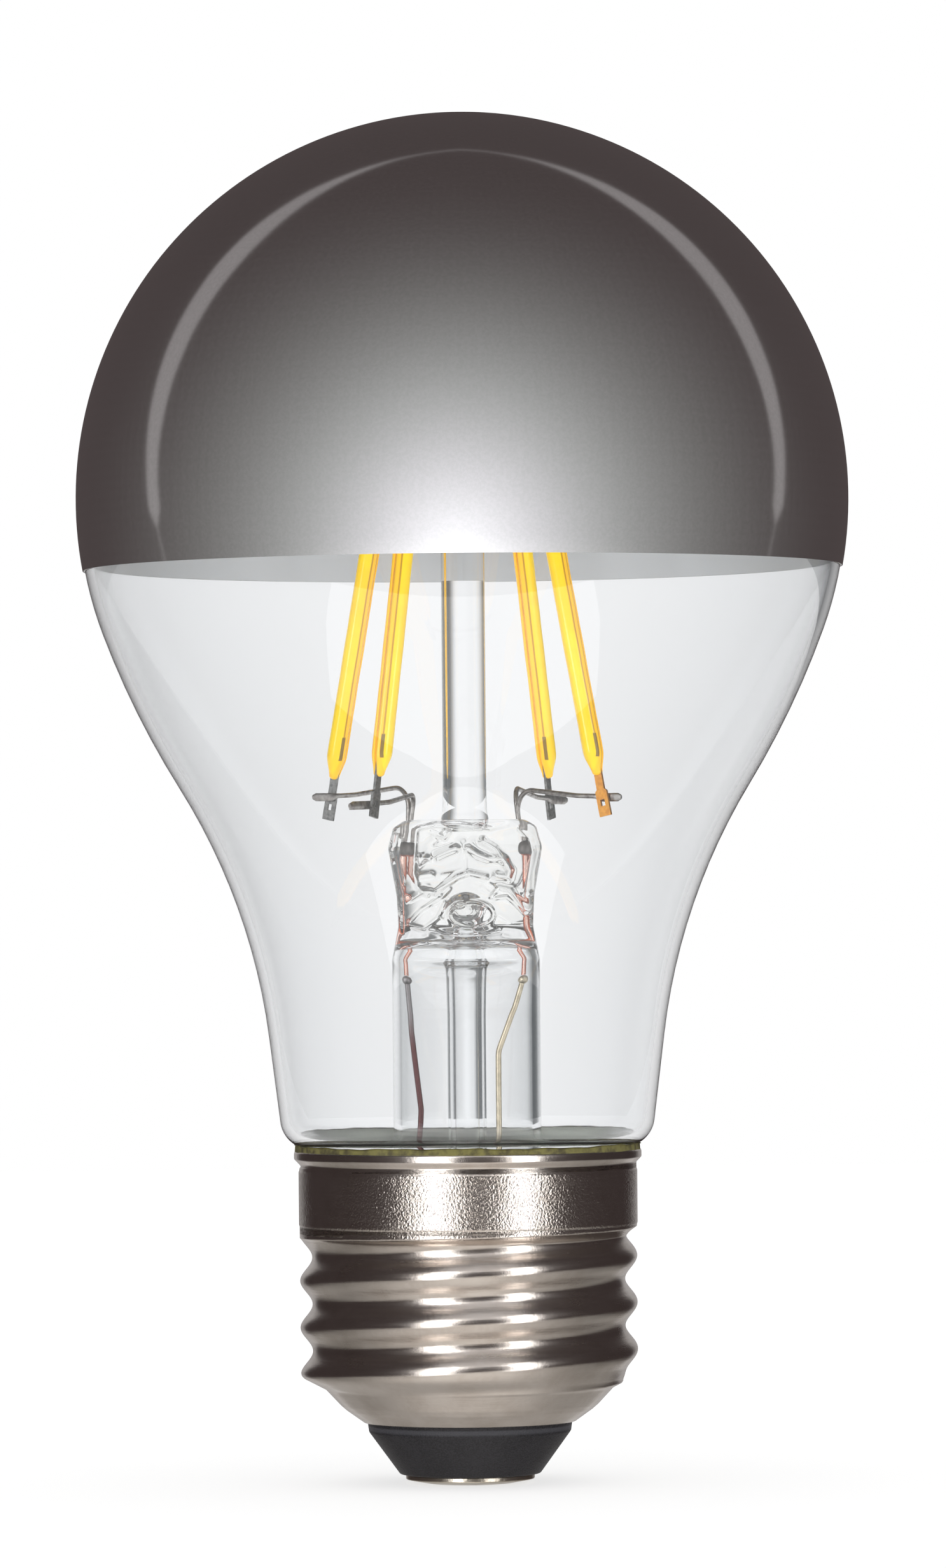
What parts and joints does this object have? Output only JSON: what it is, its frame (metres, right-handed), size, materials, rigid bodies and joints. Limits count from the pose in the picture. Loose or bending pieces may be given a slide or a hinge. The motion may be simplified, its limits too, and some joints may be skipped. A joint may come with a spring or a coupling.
{
  "type": "led bulb",
  "caption": "LED filament bulb with a clear pear-shaped glass, a mirrored crown, upright yellow filaments on wire supports and a nickel Edison screw cap.",
  "frame": {"origin": "centre of the outer face of the centre contact, on the bulb's axis", "axes": "+Z along the axis from the cap to the crown, -Y towards the front of the picture, +X to its right"},
  "size_m": [0.06, 0.06, 0.1064],
  "materials": {
    "clear_glass": "clear blown soda-lime glass",
    "crown_mirror": "dark silver vapour-deposited mirror",
    "stem_glass": "clear lead-free stem glass, melted surface",
    "cap_nickel": "nickel plated rolled sheet",
    "cement": "olive capping cement, matt",
    "black_insulator": "charcoal moulded insulator",
    "contact_nickel": "nickel plated contact",
    "circuit_board": "green solder mask",
    "black_resin": "moulded epoxy",
    "capacitor_sleeve": "shrunk sleeve",
    "ferrite": "matt ferrite",
    "copper": "enamelled copper",
    "resistor_body": "lacquered",
    "tinned_wire": "tinned copper wire",
    "filament_strip": "ceramic strip with chips",
    "phosphor": "yellow phosphor silicone",
    "steel_tab": "plated iron",
    "copper_tab": "copper tinted",
    "support_wire": "nickel wire",
    "seal_copper": "copper clad seal wire"
  },
  "bodies": {
    "root": {"bridge_rectifier": "black_resin", "capping_cement": "cement", "centre_contact": "contact_nickel", "centre_rod": "stem_glass", "driver_board": "circuit_board", "driver_chip": "black_resin", "exhaust_tube": "stem_glass", "filament_strip_front_left": "filament_strip", "filament_strip_front_right": "filament_strip", "filament_strip_rear_left": "filament_strip", "filament_strip_rear_right": "filament_strip", "fusible_resistor": "resistor_body", "glass_bulb": "clear_glass", "inductor_core": "ferrite", "inductor_winding": "copper", "insulator": "black_insulator", "lower_tab_front_left": "steel_tab", "lower_tab_front_right": "copper_tab", "lower_tab_rear_left": "steel_tab", "lower_tab_rear_right": "steel_tab", "mirror_crown": "crown_mirror", "neutral_lead": "tinned_wire", "outer_lead_left": "tinned_wire", "outer_lead_right": "tinned_wire", "phosphor_back_front_left": "phosphor", "phosphor_back_front_right": "phosphor", "phosphor_back_rear_left": "phosphor", "phosphor_back_rear_right": "phosphor", "phosphor_face_front_left": "phosphor", "phosphor_face_front_right": "phosphor", "phosphor_face_rear_left": "phosphor", "phosphor_face_rear_right": "phosphor", "screw_shell": "cap_nickel", "seal_wire_left": "seal_copper", "seal_wire_right": "seal_copper", "smoothing_capacitor": "capacitor_sleeve", "stem_glass": "stem_glass", "support_wire_front_left": "support_wire", "support_wire_front_right": "support_wire", "support_wire_rear_left": "support_wire", "support_wire_rear_right": "support_wire", "top_wire_front": "support_wire", "top_wire_rear": "support_wire", "upper_tab_front_left": "steel_tab", "upper_tab_front_right": "steel_tab", "upper_tab_rear_left": "steel_tab", "upper_tab_rear_right": "steel_tab"}
  },
  "joints": []
}
